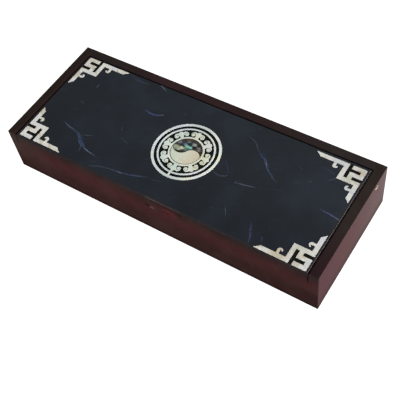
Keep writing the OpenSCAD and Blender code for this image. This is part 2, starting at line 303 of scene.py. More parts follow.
def wood_face(paint, along, height, mottle):
    """The long faces: dark at the foot as painted shade where they meet the floor, red above, grey
    high at the left as a painted reflection haze, and painted shade to the right.
    """
    # Painted reflection haze: greyer high at the left
    left_haze = paint.times(paint.step(along, 0.17, 0.02, 0.0, 0.7), paint.step(height, 0.1, 0.7))
    greyness = paint.plus(left_haze, paint.step(mottle, 0.45, 0.75, 0.0, 0.15))
    tone = paint.mix(greyness, paint.ramp(height, FACE_STOPS), FACE_GREY)
    # Painted shade: dimmer toward the right
    return paint.shade_by(tone, paint.step(along, 0.3, 0.85, 1.03, 0.94))


def wood_end(paint, across, height):
    """The end faces: lighter and greyer to the rear as a painted reflection haze, and darker at
    the foot as painted shade where they meet the floor.
    """
    tone = paint.ramp(across, END_STOPS)
    # Painted shade toward the foot, where the end faces meet the floor
    return paint.shade_by(tone, paint.step(height, 0.02, 0.35, 0.6, 1.0))


def wood_rail(paint, along, across, stops):
    """The rails on top, red at the right front, with painted shade on the inner edge beside the
    lid's right end.
    """
    right_front = paint.times(paint.step(along, 0.93, 0.97), paint.step(across, 0.5, 0.1))
    tone = paint.mix(right_front, paint.ramp(along, stops), RAIL_RED)
    # Painted shade on the right rail's inner edge, where the slit beside the lid is
    slit_shade_share = paint.window(paint.minus(paint.x, LID_HIGH.x), EDGE_FROM, EDGE_TO, 0.2)
    beside_lid = paint.step(paint.y, LID_HIGH.y + 1.0, LID_HIGH.y + 0.4)
    return paint.scale_where(tone, paint.times(slit_shade_share, beside_lid), SLIT_SHADE)


def groove_light_and_shade(paint, tone):
    """Painted light and shade about the finger groove."""
    squeezed = paint.vector("MULTIPLY", paint.place, (GROOVE_SPOT_SQUEEZE, 1, 1))
    for (x, y, z), reach, strength, colour in GROOVE_LIGHT_SPOTS:
        far = paint.distance(squeezed, (x * GROOVE_SPOT_SQUEEZE, y, z))
        tone = paint.spot(tone, far, reach, GROOVE_SPOT_CORE, strength, colour)
    return tone


def pin_holes(paint, tone):
    """Bare wood inside the holes for the hinge pins, painted pale as a highlight, with a dark rim.
    """
    across = paint.vector("MULTIPLY", paint.place, (0, 1, 1))
    far = paint.distance(across, (0, PIN_AXIS.y, PIN_AXIS.z))
    tone = paint.shade_by(tone, paint.step(far, RIM_FROM, RIM_TO, RIM_FACTOR, 1.0))
    return paint.mix(paint.step(far, BARE_FROM, BARE_TO), tone, BARE_WOOD_AND_HIGHLIGHT)


def lacquered_wood(name, grain_stretch, rail_stops):
    """Red-brown lacquer over fine straight grain, with its own colours by the way a face looks."""
    paint = Paint(name, Specular_IOR_Level=0.3, Coat_Weight=0.05, Coat_Roughness=0.25)
    along = paint.share_between(paint.x, CASE_LOW.x, CASE_HIGH.x)
    across = paint.share_between(paint.y, CASE_LOW.y, CASE_HIGH.y)
    height = paint.share_between(paint.z, CASE_LOW.z, CASE_HIGH.z)
    mottle = paint.noise(13, detail=3, warp=0.5)
    toward_x, _, toward_z = paint.split(paint.vector("ABSOLUTE", paint.normal))
    on_end = paint.step(toward_x, 0.3, 0.9)
    on_top = paint.step(toward_z, 0.3, 0.9)
    face = wood_face(paint, along, height, mottle)
    tone = paint.mix(on_end, face, wood_end(paint, across, height))
    tone = paint.mix(on_top, tone, wood_rail(paint, along, across, rail_stops))
    # Painted shade on the end walls' inner faces in the gaps beside the lid
    gap_shade_share = paint.window(paint.beyond(paint.x, 0.0, LID_HIGH.x), GAP_FROM, GAP_TO, 0.05)
    tone = paint.scale_where(tone, paint.times(gap_shade_share, on_end), GAP_SHADE)
    tone = paint.shade(tone, mottle, 0.9, 1.1)
    tone = paint.shade(tone, paint.noise(GRAIN, stretch=grain_stretch, detail=4), 0.96, 1.04)
    tone = groove_light_and_shade(paint, tone)
    tone = pin_holes(paint, tone)
    paint.bump(paint.noise(1.6, detail=2), LACQUER_RELIEF)
    return paint.finish(tone, paint.over_noise(mottle, 0.46, 0.56))


# Lacquered paper: colours, and the size of the black block that each fret lies on
NAVY = srgb(40, 45, 52)
NAVY_DEEP = srgb(37, 41, 46)
GROUND_BLACK = srgb(15, 19, 18)
GROUND_GREEN = srgb(27, 33, 29)
FRET_BLACK = srgb(21, 21, 20)
FRET_BLOCK = Vector((15.5, 14.5))
EDGE_BROWN = srgb(44, 37, 37)
# Painted highlight line on the lid's right end, and painted shadow line on its left end beside the
# gap
LID_END_HIGHLIGHT = srgb(66, 64, 64)
EDGE_SHADE = srgb(22, 15, 14)

# Painted highlight along the arris over the finger groove, where its lip catches the light
LIP_LIGHT_FROM, LIP_LIGHT_TO = -3.0, 25.5
LIP_HIGHLIGHT = srgb(88, 78, 76)

# Faint fibres in the paper, as angle, length, width, start in the noise and strength
STREAK_BLUE = srgb(76, 88, 120)
STREAKS = (
    (-18, 14, 0.5, 0.7, 0.2),
    (38, 11, 0.4, 0.71, 0.2),
    (-55, 9, 0.35, 0.71, 0.2),
    (82, 10, 0.4, 0.73, 0.15),
)


def faint_fibres(paint, tone):
    """Short faint fibres, each set lying about one way."""
    for angle, length, width, start, strength in STREAKS:
        field = paint.noise(
            width, stretch=(length / width, 1, 1), detail=1, where=paint.turned(angle), warp=0.6)
        tone = paint.mix(paint.step(field, start, start + 0.1, 0.0, strength), tone, STREAK_BLUE)
    return tone


def fret_ground(paint):
    """One on the black ground between the strokes of the four fret blocks, and 0 away from it."""
    half = FRET_BLOCK / 2
    nearest = None
    for name in FRETS:
        low, high = box_mm(name)
        middle_x = high.x - half.x if "right" in name else low.x + half.x
        middle_y = high.y - half.y if "rear" in name else low.y + half.y
        beyond_x = paint.beyond(paint.x, middle_x, half.x)
        beyond_y = paint.beyond(paint.y, middle_y, half.y)
        outside = paint.calc("MAXIMUM", beyond_x, beyond_y)
        nearest = outside if nearest is None else paint.calc("MINIMUM", nearest, outside)
    return paint.step(nearest, 0.2, -0.1)


def black_ground(paint, tone, fine):
    """Black lacquer inside the medallion and between the strokes of the frets."""
    inside = paint.step(paint.from_spot(MEDALLION.x, MEDALLION.y), MEDALLION_R + 0.25, MEDALLION_R)
    ground = paint.mix(paint.step(fine, 0.4, 0.75), GROUND_BLACK, GROUND_GREEN)
    return paint.mix(fret_ground(paint), paint.mix(inside, tone, ground), FRET_BLACK)


def front_rim(paint, tone):
    """Lacquer feathered to brown along the front, with a painted highlight on the arris over the
    finger groove.
    """
    ragged = paint.plus(paint.y, paint.times(paint.noise(7, detail=3), 0.8))
    tone = paint.mix(paint.step(ragged, LID_LOW.y + 2.2, LID_LOW.y + 0.2), tone, EDGE_BROWN)
    arris = paint.times(
        paint.window(paint.z, PAPER_TOP - 1.0, PAPER_TOP - 0.2, 0.1),
        paint.step(paint.y, LID_LOW.y + 0.5, LID_LOW.y + 0.25))
    lip_light = paint.times(arris, paint.window(paint.x, LIP_LIGHT_FROM, LIP_LIGHT_TO, 2.0))
    lip_light = paint.times(lip_light, paint.step(paint.x, LIP_LIGHT_FROM, LIP_LIGHT_TO * 0.7, 1.0, 0.4))
    return paint.mix(lip_light, tone, LIP_HIGHLIGHT)


def lid_ends(paint, tone):
    """Brown at both ends of the lid, with a painted highlight line at the right and a painted
    shadow line at the left.
    """
    end = paint.beyond(paint.x, 0.0, LID_HIGH.x)
    tone = paint.mix(paint.step(end, -1.6, -0.7), tone, EDGE_BROWN)
    at_right = paint.step(paint.x, -1.0, 1.0)
    at_left = paint.minus(1.0, at_right)
    tone = paint.mix(paint.times(paint.step(end, -0.5, -0.35), at_right), tone, LID_END_HIGHLIGHT)
    return paint.mix(paint.times(paint.step(end, -0.25, -0.1), at_left), tone, EDGE_SHADE)


def lacquered_paper():
    """Navy fibre paper under satin lacquer, with painted shade to the right front, and black in
    the beds as painted shade.
    """
    paint = Paint("lacquered_paper", Specular_IOR_Level=0.3, Coat_Weight=0.08, Coat_Roughness=0.3)
    cloudy = paint.noise(26, detail=4)
    fine = paint.noise(0.8, stretch=(2.5, 1, 1), detail=3)
    tone = paint.mix(paint.step(cloudy, 0.35, 0.65), NAVY_DEEP, NAVY)
    tone = paint.shade(tone, fine, 0.975, 1.025)
    # Painted shade toward the front, stronger to the right
    near_front = paint.step(paint.y, 6, LID_LOW.y + 2)
    front_shade = paint.times(near_front, paint.step(paint.x, LID_LOW.x, LID_HIGH.x, 0.12, 0.28))
    tone = paint.shade_by(tone, paint.minus(1.0, front_shade))
    tone = faint_fibres(paint, tone)
    tone = black_ground(paint, tone, fine)
    tone = front_rim(paint, tone)
    tone = lid_ends(paint, tone)
    # Painted shade: the sunk bed floors round the shell painted black
    sunk = paint.step(paint.z, PAPER_TOP - 0.05, PAPER_TOP - 0.3)
    facing_up = paint.step(paint.split(paint.normal)[2], 0.3, 0.9)
    tone = paint.mix(paint.times(sunk, facing_up), tone, GROUND_BLACK)
    paint.bump(paint.noise(2.2, detail=3), LACQUER_RELIEF)
    return paint.finish(tone, paint.over_noise(cloudy, 0.42, 0.52))


# Mother-of-pearl: white, warm and cool shell of each piece, and patches by place, reach and colour
FRET_SHELL = (srgb(219, 217, 210), srgb(198, 193, 176), srgb(204, 207, 209))
FRET_AMBER = srgb(196, 184, 156)
FRET_GREEN = srgb(199, 200, 184)
FRET_BRIGHT = srgb(228, 230, 222)
FRET_LILAC = srgb(212, 215, 222)
FRET_PATCHES = (
    ((95, -43), 9.0, FRET_AMBER),
    ((103, -35), 6.0, FRET_GREEN),
    ((112, -22), 7.0, FRET_LILAC),
    ((112, 35), 5.0, FRET_AMBER),
    ((107, 27), 6.0, FRET_GREEN),
    ((81, 38), 7.0, FRET_BRIGHT),
    ((112, 13), 6.0, FRET_BRIGHT),
    ((-103, 36), 6.0, FRET_BRIGHT),
)
RING_SHELL = (srgb(212, 218, 216), srgb(224, 226, 206), srgb(205, 210, 216))
RING_DIM = srgb(191, 201, 200)
RING_BRIGHT = srgb(221, 226, 230)
RING_PATCHES = (
    ((0.5, -26), 14, RING_DIM),
    ((0.5, 21), 13, RING_DIM),
    ((-21, -2.5), 11, RING_BRIGHT),
)
CLOUD_SHELL = (srgb(214, 220, 210), srgb(210, 212, 184), srgb(205, 216, 206))
CLOUD_GREY = srgb(212, 212, 213)
CLOUD_STRAW = srgb(209, 211, 190)
CLOUD_MINT = srgb(198, 211, 200)
CLOUD_PATCHES = (
    ((11, 8), 8, CLOUD_GREY),
    ((0.5, 12.5), 6, CLOUD_STRAW),
    ((-10, 8), 7, CLOUD_MINT),
    ((0.5, -17.5), 7, CLOUD_MINT),
)
PATCH_CORE = 0.3
PATCH_SHARE = 0.75
LINE_DARK = srgb(26, 28, 25)
LINE_GREY = srgb(86, 88, 78)
PEARL_GLOSS = {"Specular_IOR_Level": 0.5, "Coat_Weight": 0.25, "Coat_Roughness": 0.15}
PEARL_RELIEF = 0.006


def pearl_shell(name, growth_angle, colours, patches, middle, reach, lean, right_shade):
    """Pale shell with wavy growth lines and soft patches, warmer to the right, and darker to the
    right by painted shade, or lighter by painted light where right_shade is above one.
    """
    white, warm, cool = colours
    paint = Paint(name, **PEARL_GLOSS)
    grown = paint.turned(growth_angle)
    clouds = paint.noise(8, stretch=(1.6, 1, 1), detail=2, where=grown, warp=0.8)
    lines = paint.noise(0.55, stretch=(9, 1, 1), detail=3, where=grown, warp=0.5)
    rightward = paint.share_between(paint.x, middle - reach, middle + reach)
    warmth = paint.plus(clouds, paint.step(rightward, 0.0, 1.0, -0.4 * lean, 0.6 * lean))
    tone = paint.ramp(warmth, ((0.36, cool), (0.45, white), (0.53, white), (0.64, warm)))
    for (x, y), size, colour in patches:
        tone = paint.spot(tone, paint.from_spot(x, y), size, PATCH_CORE, PATCH_SHARE, colour)
    tone = paint.shade(tone, lines, 0.87, 1.07)
    # Painted shade toward the right where right_shade is below one, painted light where it is
    # above
    tone = paint.scale_where(tone, rightward, right_shade)
    from_middle = paint.from_spot(MEDALLION.x, MEDALLION.y)
    tone = paint.mix(paint.step(from_middle, DISC_R + 0.6, DISC_R + 0.4), tone, LINE_GREY)
    paint.bump(lines, PEARL_RELIEF)
    return paint.finish(tone, paint.over_noise(clouds, 0.24, 0.36))


# The disc's pale half, from left to right
DISC_STOPS = (
    (0.1, srgb(196, 208, 188)), (0.45, srgb(206, 208, 190)),
    (0.7, srgb(206, 200, 178)), (0.95, srgb(202, 192, 168)))
DISC_DRIFT = 10


def pearl_disc():
    """The disc's pale half: greenish white at the left, turning to peach at the right."""
    paint = Paint("pearl_disc", **PEARL_GLOSS)
    drift = paint.times(paint.minus(paint.noise(6, detail=2, warp=0.8), 0.5), DISC_DRIFT)
    along = paint.share_between(
        paint.plus(paint.x, drift), MEDALLION.x - DISC_R, MEDALLION.x + DISC_R)
    lines = paint.noise(0.5, stretch=(8, 1, 1), detail=3, where=paint.turned(10), warp=0.6)
    tone = paint.shade(paint.ramp(along, DISC_STOPS), lines, 0.92, 1.04)
    paint.bump(lines, PEARL_RELIEF)
    return paint.finish(tone, paint.over_noise(lines, 0.22, 0.34))


# Colours of the abalone, and its clouds by place from the medallion's middle, reach and colour
UMBER = srgb(62, 58, 53)
RUSSET = srgb(88, 70, 62)
VIOLET_GREY = srgb(116, 118, 128)
SILVER = srgb(144, 150, 150)
PEWTER = srgb(124, 122, 122)
SAGE = srgb(110, 124, 112)
OLIVE = srgb(150, 160, 136)
MOSS = srgb(40, 50, 29)
CHALK = srgb(188, 196, 176)
LEMON = srgb(176, 184, 150)
INK = srgb(28, 29, 28)
BLUE = srgb(82, 122, 150)
DEEP_TEAL = srgb(40, 58, 64)
DEEP_SEA = srgb(88, 112, 104)
SEA_GREEN = srgb(146, 190, 164)
TURQUOISE = srgb(126, 186, 175)
ABALONE_CLOUDS = (
    ((-3.4, 8.9), 3.0, RUSSET),
    ((-8.8, 5.2), 3.0, VIOLET_GREY),
    ((-2.3, 7.7), 2.2, SAGE),
    ((2.2, 7.2), 2.6, SILVER),
    ((5.4, 8.0), 1.8, MOSS),
    ((6.5, 6.0), 2.0, PEWTER),
    ((7.4, 4.4), 1.9, PEWTER),
    ((-8.4, 0.2), 4.0, OLIVE),
    ((-0.9, 6.6), 2.5, DEEP_TEAL),
    ((-4.0, 5.0), 2.1, BLUE),
    ((-1.2, 1.4), 2.8, DEEP_SEA),
    ((-1.8, 3.9), 2.4, SEA_GREEN),
    ((0.9, 3.9), 2.3, TURQUOISE),
    ((3.2, 5.1), 2.1, INK),
    ((-5.7, 3.2), 2.3, MOSS),
    ((-4.6, 1.3), 2.6, CHALK),
    ((-5.4, -0.6), 2.0, LEMON),
    ((-3.6, -2.2), 2.8, MOSS),
)
ABALONE_CORE = 0.35
ABALONE_FLAT = 1.4
ABALONE_SWIRL = 1.8
ABALONE_RELIEF = 0.008


def abalone_shell():
    """Abalone: umber, clouded with olive, grey and sea green, with dark veins."""
    paint = Paint("abalone_shell", Specular_IOR_Level=0.5, Coat_Weight=0.3, Coat_Roughness=0.12)
    swirl = paint.vector("SCALE", paint.noise_vector(1.2), Scale=ABALONE_SWIRL)
    moved = paint.vector("ADD", paint.place, swirl)
    moved = paint.vector("MULTIPLY", moved, (1, ABALONE_FLAT, 0))
    tone = UMBER
    for (x, y), reach, colour in ABALONE_CLOUDS:
        far = paint.distance(moved, (MEDALLION.x + x, (MEDALLION.y + y) * ABALONE_FLAT, 0))
        tone = paint.spot(tone, far, reach, ABALONE_CORE, 1.0, colour)
    bands = paint.noise(1.4, stretch=(3, 1, 1), detail=3, where=paint.turned(20), warp=1.6)
    tone = paint.shade(tone, bands, 0.75, 1.25)
    field = paint.noise(2.2, stretch=(2, 1, 1), detail=2, where=paint.turned(-25), warp=1.2)
    vein = paint.beyond(field, 0.5, 0.0)
    tone = paint.shade_by(tone, paint.step(vein, 0.012, 0.035, 0.55, 1.0))
    paint.bump(bands, ABALONE_RELIEF)
    return paint.finish(tone, paint.over_noise(bands, 0.2, 0.3))


BRASS_DARK = srgb(150, 120, 84)
BRASS_LIGHT = srgb(206, 172, 128)
BRASS_RELIEF = 0.01


def brass():
    """Turned brass with fine rings and a little tarnish."""
    paint = Paint("brass", Metallic=1.0)
    tarnish = paint.noise(0.7, detail=3)
    paint.bump(paint.noise(0.25, stretch=(0.3, 1, 1), detail=2), BRASS_RELIEF)
    return paint.finish(
        paint.mix(tarnish, BRASS_DARK, BRASS_LIGHT), paint.over_noise(tarnish, 0.25, 0.42))


WINE_DARK = srgb(84, 12, 22)
WINE_LIGHT = srgb(120, 22, 36)
WINE_SHEEN = srgb(205, 92, 104)
PILE_RELIEF = 0.12


def velvet():
    """Wine-red velvet, with a short pile that lies unevenly and lights up at the edges."""
    paint = Paint(
        "velvet", Specular_IOR_Level=0.1, Sheen_Weight=0.7, Sheen_Roughness=0.35,
        Sheen_Tint=WINE_SHEEN)
    lay = paint.noise(16, detail=3, warp=0.7)
    pile = paint.noise(0.22, detail=2)
    tone = paint.shade(paint.mix(lay, WINE_DARK, WINE_LIGHT), pile, 0.75, 1.2)
    paint.bump(pile, PILE_RELIEF)
    return paint.finish(tone, 0.85)


FIBRE_RELIEF = 0.01


def fibre(name, dark, light):
    """A dyed paper fibre under the lacquer."""
    paint = Paint(name, Specular_IOR_Level=0.4)
    tone = paint.mix(paint.noise(3.5, detail=2), dark, light)
    paint.bump(paint.noise(0.3, stretch=(5, 1, 1)), FIBRE_RELIEF)
    return paint.finish(tone, paint.over_noise(paint.noise(2), 0.38, 0.48))


def engraved_line():
    """The dark filling of a hairline cut in shell."""
    paint = Paint("engraved_line", Specular_IOR_Level=0.3)
    tone = paint.mix(paint.step(paint.noise(1.2), 0.4, 0.8), LINE_DARK, LINE_GREY)
    return paint.finish(tone, paint.over_noise(paint.noise(0.8), 0.45, 0.6))


# Finishes of the CAD nodes
FINISHES = (
    (lacquered_wood("lacquered_wood_long", ALONG_X, LONG_RAIL),
     ("front_wall", "rear_wall", "bottom_panel", "lid_panel")),
    (lacquered_wood("lacquered_wood_end", ALONG_Y, END_RAIL), ("left_end_wall", "right_end_wall")),
    (lacquered_paper(), ("lid_paper",)),
    (pearl_shell("pearl_fret", 35, FRET_SHELL, FRET_PATCHES, 0.0, LID_HIGH.x, 0.0, 0.88), FRETS),
    (pearl_shell(
        "pearl_ring", -40, RING_SHELL, RING_PATCHES, MEDALLION.x, MEDALLION_R, 0.13, 1.05),
     ("medallion_outer_ring", "medallion_inner_ring")),
    (pearl_shell(
        "pearl_cloud", 65, CLOUD_SHELL, CLOUD_PATCHES, MEDALLION.x, MEDALLION_R, 0.13, 1.0),
     ("medallion_cloud_collar",)),
    (pearl_disc(), ("medallion_pearl_half",)),
    (abalone_shell(), ("medallion_abalone_half",)),
    (brass(), ("left_hinge_pin", "right_hinge_pin")),
)
for material, names in FINISHES:
    for name in names:
        nodes[name].data.materials.clear()
        nodes[name].data.materials.append(material)


def closed_mesh(name, mesh):
    """A smooth mesh made from a closed bmesh, with its faces turned outward."""
    bmesh.ops.recalc_face_normals(mesh, faces=mesh.faces)
    data = bpy.data.meshes.new(name)
    mesh.to_mesh(data)
    mesh.free()
    data.shade_smooth()
    return data


def new_piece(name, mesh, body, material):
    """A finished piece that rides on a body of the frame."""
    mesh.transform(Matrix.Scale(MM, 4))
    mesh.materials.append(material)
    piece = bpy.data.objects.new(name, mesh)
    bpy.context.scene.collection.objects.link(piece)
    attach(piece, body)
    return piece


# Threads: paper fibres and engraved lines
THREAD_SECTION = ((-1, 0), (-0.5, 1), (0.5, 1), (1, 0), (0.5, -1), (-0.5, -1))


def smooth_path(points, spacing):
    """Points along a smooth curve through the given points, about spacing apart."""
    ends = [2 * points[0] - points[1], *points, 2 * points[-1] - points[-2]]
    path = []
    for before, start, end, after in zip(ends, ends[1:], ends[2:], ends[3:]):
        count = max(2, round((end - start).length / spacing))
        for i in range(count):
            t = i / count
            path.append(0.5 * (
                2 * start + (end - before) * t
                + (2 * before - 5 * start + 4 * end - after) * t ** 2
                + (3 * start - before - 3 * end + after) * t ** 3))
    return path + [points[-1]]


def side_of(path, i):
    """The direction square to a path at one of its points."""
    along = path[min(i + 1, len(path) - 1)] - path[max(i - 1, 0)]
    return Vector((-along.y, along.x)).normalized()


def swell(share):
    """Width along a fibre: thin at both ends."""
    return 0.15 + 0.85 * abs(math.sin(math.pi * share)) ** 0.5


def fade(share):
    """Width along an engraved line: cut broad, then running out fine."""
    return 0.2 + 0.8 * (1 - share) ** 2


def add_thread(mesh, path, width, z, lift, taper):
    """Adds one closed flat thread along a path, half sunk at height z."""
    last = len(path) - 1
    rings = []
    for i, point in enumerate(path):
        side = side_of(path, i)
        share = taper(i / last)
        ring = []
        for across, up in THREAD_SECTION:
            spot = point + side * (across * width * share / 2)
            ring.append(mesh.verts.new((spot.x, spot.y, z + up * lift * share)))
        rings.append(ring)
    for ring, following in zip(rings, rings[1:]):
        for quad in zip(ring, following, following[1:] + following[:1], ring[1:] + ring[:1]):
            mesh.faces.new(quad)
    mesh.faces.new(rings[0])
    mesh.faces.new(reversed(rings[-1]))


def thread_mesh(name, threads, z, lift, taper):
    """One mesh of several threads, given as pairs of path and width."""
    mesh = bmesh.new()
    for path, width in threads:
        add_thread(mesh, path, width, z, lift, taper)
    return closed_mesh(name, mesh)


# Fibres lie a hair over the ones before them. A thread may start late and end early by END_SHARE.
FIBRE_STEP = 1.3
FIBRE_LIFT = 0.03
FIBRE_LAYER = 0.0002
THREAD_WIDTHS = (0.14, 0.34)
THREAD_WAVES = (1.2, 2.6)
WAVE_SHARE = 0.2
END_SHARE = 0.2
SHORTEST = 3
FIBRE_SEED = 7


def fibre_bundle(points, count, spread, rng):
    """Several thin threads that part and meet again along one line."""
    spine = smooth_path([Vector(point) for point in points], FIBRE_STEP)
    last = len(spine) - 1
    threads = []
    for _ in range(count):
        first = rng.randint(0, max(0, round(last * END_SHARE)))
        soonest = max(first + SHORTEST, round(last * (1 - END_SHARE)))
        final = rng.randint(min(last, soonest), last)
        side_shift = rng.uniform(-1, 1) * spread / 2
        waves = rng.uniform(*THREAD_WAVES)
        phase = rng.uniform(0, 2 * math.pi)
        path = []
        for i in range(first, final + 1):
            bulge = math.sin(math.pi * (i + 0.5) / (last + 1))
            wave = WAVE_SHARE * spread * math.sin(phase + waves * 2 * math.pi * i / last)
            path.append(spine[i] + side_of(spine, i) * (side_shift * bulge + wave))
        if len(path) >= SHORTEST:
            threads.append((path, rng.uniform(*THREAD_WIDTHS)))
    return threads


FIBRE_TONES = {
    "steel": fibre("fibre_steel", srgb(46, 54, 68), srgb(59, 68, 86)),
    "deep": fibre("fibre_deep", srgb(43, 57, 84), srgb(56, 72, 104)),
    "azure": fibre("fibre_azure", srgb(54, 70, 104), srgb(68, 86, 124)),
    "mist": fibre("fibre_mist", srgb(50, 56, 80), srgb(62, 69, 99)),
    "lilac": fibre("fibre_lilac", srgb(82, 87, 120), srgb(104, 109, 144)),
    "violet": fibre("fibre_violet", srgb(58, 64, 98), srgb(75, 83, 122)),
    "dusk": fibre("fibre_dusk", srgb(42, 45, 68), srgb(52, 56, 84)),
    "grey": fibre("fibre_grey", srgb(49, 57, 66), srgb(62, 71, 82)),
    "pale": fibre("fibre_pale", srgb(70, 75, 90), srgb(92, 97, 114)),
}

# Fibres in the lid's paper: tone, number of threads, spread, and the line on the lid's top
FIBRES = (
    ("steel", 9, 1.2, (
        (-95, -20.8), (-90.3, -22.2), (-84, -23.7), (-79, -25.1), (-76, -26.4), (-73.4, -29),
        (-69.8, -31.3), (-64.4, -34.3), (-60.9, -35.3), (-52, -36.8))),
    ("deep", 12, 2.8, ((-78, -25.5), (-74, -28), (-70, -31.3), (-66, -33.6), (-62, -35.1))),
    ("pale", 2, 0.4, ((-94, -21.1), (-89, -22.6), (-83, -24))),
    ("pale", 3, 0.6, ((-66, -33.6), (-62, -35), (-56, -36.2))),
    ("grey", 4, 0.9, ((-75, -26.4), (-71.5, -24.6), (-65.5, -22.2))),
    ("steel", 4, 0.6, ((-75, -30), (-71, -31.5), (-68.8, -33.5), (-66.7, -38.7))),
    ("grey", 4, 0.9, ((-53, -45.8), (-46.6, -42.5), (-41, -41.1), (-35, -40.4))),
    ("steel", 7, 1.2, (
        (-43, -41.3), (-34, -40.2), (-27.8, -39.4), (-21.6, -38), (-15.3, -35.8), (-10, -34))),
    ("pale", 2, 0.5, ((-31, -39.9), (-27, -39.2), (-22, -38.1))),
    ("violet", 8, 1.2, ((-47.5, 15.4), (-44, 14.5), (-40, 13.9), (-36, 14.8), (-32, 17.4))),
    ("pale", 2, 0.4, ((-36.5, 14.6), (-34, 15.8), (-31.6, 17.6))),
    ("grey", 4, 0.7, ((30, 28.2), (35.7, 27.2), (39.7, 24.5), (43.3, 20.9), (47.3, 17.8))),
    ("mist", 9, 1.1, (
        (43, 21), (47.3, 17.8), (51.8, 15.1), (54.5, 12.3), (57.1, 9.3), (61.6, 6.5), (65, 3.6))),
    ("pale", 3, 0.6, ((51, 15.6), (54.5, 12.4), (57, 9.4), (60, 7.6))),
    ("grey", 3, 0.7, ((60, 7), (65.2, 3.5), (70.1, 2.2))),
    ("grey", 6, 0.9, ((25.5, -9), (30.8, -10.3), (33.5, -9.4), (36.4, -7.6))),
    ("dusk", 3, 0.9, ((28.5, 2.6), (32, -1.5), (35.7, -5.6))),
    ("pale", 5, 0.7, ((43, -10.2), (47, -9.6), (52, -8.6), (57.8, -7.2))),
    ("grey", 3, 0.4, ((43, -8.4), (43.4, -9.6), (44, -11))),
    ("violet", 7, 0.7, ((101.5, -2.6), (106, -3), (110, -3.3), (116.6, -4.4))),
    ("dusk", 7, 1.4, ((68.3, -31.6), (70.5, -35.8), (73.2, -41.1), (75, -46.6))),
    ("violet", 2, 0.5, ((71, -37), (73, -41), (74.4, -44.6))),
    ("dusk", 3, 0.6, ((79.4, -37.4), (81, -39.8), (82.6, -42.4))),
    ("grey", 5, 1.0, ((-78, 39.6), (-72, 37.8), (-67, 36.4), (-59, 36.8))),
    ("dusk", 3, 0.7, ((-70, 38.6), (-66, 37.4), (-61, 37))),
    ("grey", 3, 0.5, ((-47.5, 39.6), (-45, 38.4), (-43, 36.6))),
    ("grey", 2, 0.4, ((-92.6, 20.4), (-92.2, 18.4), (-92.8, 16.8))),
    ("grey", 2, 0.4, ((-53, -4.8), (-51.4, -7.3), (-49.6, -10.4))),
    ("grey", 2, 0.5, ((-47.5, -14.2), (-44, -15.5), (-39.2, -16.7))),
    ("dusk", 3, 0.8, ((-20.5, 25.6), (-18.4, 25.2), (-17, 24))),
    ("grey", 2, 0.5, ((33.8, 36.6), (34.8, 37.4), (35.8, 38.6))),
    ("dusk", 2, 0.6, ((72.8, 21.8), (76, 20.4), (78.6, 18.6))),
    ("grey", 2, 0.4, ((47.2, -29.2), (49.6, -32.4), (52.2, -36.2))),
    ("grey", 3, 0.5, ((84.6, 12.9), (86, 13.5), (87.6, 14.2))),
    ("grey", 3, 0.6, ((89, 28.6), (94, 27.2), (99.4, 25.4))),
    ("grey", 3, 0.5, ((95, 19), (97, 20.8), (99.6, 23.2))),
    ("grey", 5, 0.6, ((-92.4, 16.2), (-92.3, 18), (-92.1, 20.2))),
    ("grey", 5, 0.7, ((-95.4, 0.5), (-93.6, -0.1), (-91.2, -1))),
    ("pale", 5, 0.7, ((-50.4, 39.9), (-48.4, 39.5), (-46.2, 38.5), (-43.8, 37))),
    ("lilac", 4, 0.5, ((52.6, 15), (54.2, 12.9), (55.6, 10.9))),
    ("pale", 3, 0.5, (
        (-93.4, -21.2), (-91, -22.2), (-87.5, -23.4), (-84, -23.9), (-80.5, -24.8),
        (-78.6, -25.1))),
    ("mist", 2, 0.4, ((-78, -24.8), (-76, -26.1), (-73.6, -28.4), (-71.8, -30.4))),
    ("pale", 4, 0.6, ((-74, -30.8), (-72.8, -30.9), (-71.4, -31.6))),
    ("azure", 6, 1.2, ((-72, -29.6), (-70, -32), (-68.4, -34))),
    ("lilac", 5, 0.8, ((-64.8, -34.1), (-62.6, -35), (-60.2, -35.4))),
    ("pale", 4, 0.6, (
        (-68.2, -31.6), (-66, -33.2), (-63.8, -34.4), (-61.6, -35.2), (-58, -35.8),
        (-53.4, -36.8))),
    ("lilac", 5, 0.7, ((-33, -40.1), (-30, -39.8), (-27, -39.2))),
    ("pale", 3, 0.4, ((-27.2, -39.1), (-25.6, -38.8), (-23.8, -38.5))),
    ("mist", 5, 1.6, ((-24, -38.7), (-20, -37.6), (-15, -35.9))),
    ("dusk", 5, 1.8, ((46, 20.4), (50, 17.8), (53, 15.2))),
    ("grey", 4, 0.8, ((25.4, -8.9), (27.5, -9.6), (30, -10.3))),
    ("pale", 4, 0.7, ((109.5, -3.5), (113, -4), (116.4, -4.6))),
)
fibre_rng = random.Random(FIBRE_SEED)
for number, (tone, count, spread, line) in enumerate(FIBRES, 1):
    threads = fibre_bundle(line, count, spread, fibre_rng)
    lift = FIBRE_LIFT + number * FIBRE_LAYER
    mesh = thread_mesh(f"paper_fibre_{number}", threads, PAPER_TOP, lift, swell)
    new_piece(mesh.name, mesh, "lid", FIBRE_TONES[tone])

# Hairlines that carry the notch of each cloud curl round into a spiral
CLOUDS = 8
CURL_ANGLE = 10.4
CURL_AT = 15.25
BALL_OUT = 0.83
SPIRAL_OUT, SPIRAL_IN = 1.45, 0.45
SPIRAL_TURN = math.radians(310)
SPIRAL_STEPS = 24
SPIRAL_WIDTH = 0.45
SPIRAL_LIFT = 0.02


